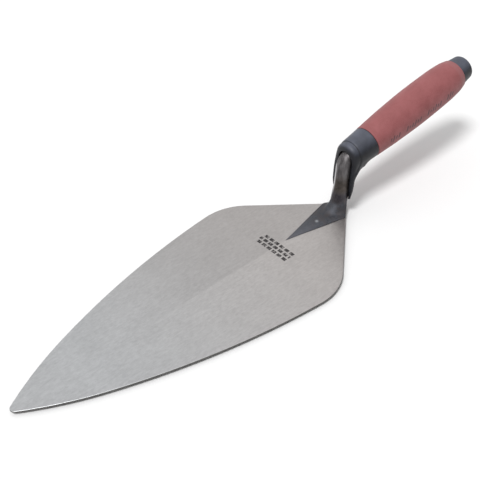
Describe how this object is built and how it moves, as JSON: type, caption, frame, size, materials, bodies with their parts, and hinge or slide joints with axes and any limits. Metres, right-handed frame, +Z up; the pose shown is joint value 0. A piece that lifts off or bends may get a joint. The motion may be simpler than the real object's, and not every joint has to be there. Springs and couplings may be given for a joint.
{
  "type": "brick trowel",
  "caption": "Pointed steel brick trowel with a forged shank, a guarded collar and a soft round grip.",
  "frame": {"origin": "on the flat underside of the blade, where the middle line of the shank meets it", "axes": "+X from the heel to the tip, +Y to the left, +Z up"},
  "size_m": [0.4059, 0.1248, 0.0747],
  "materials": {
    "ground_steel": "finely ground, satin",
    "forged_steel": "dark forged scale, worn lighter on the shank",
    "core_plastic": "moulded, matt",
    "dark_rubber": "moulded, satin",
    "red_rubber": "soft, dusty matt"
  },
  "bodies": {
    "root": {"blade": "ground_steel", "shank": "forged_steel", "handle_core": "core_plastic", "finger_guard": "dark_rubber", "grip_sleeve": "red_rubber", "end_cap": "dark_rubber"}
  },
  "joints": []
}
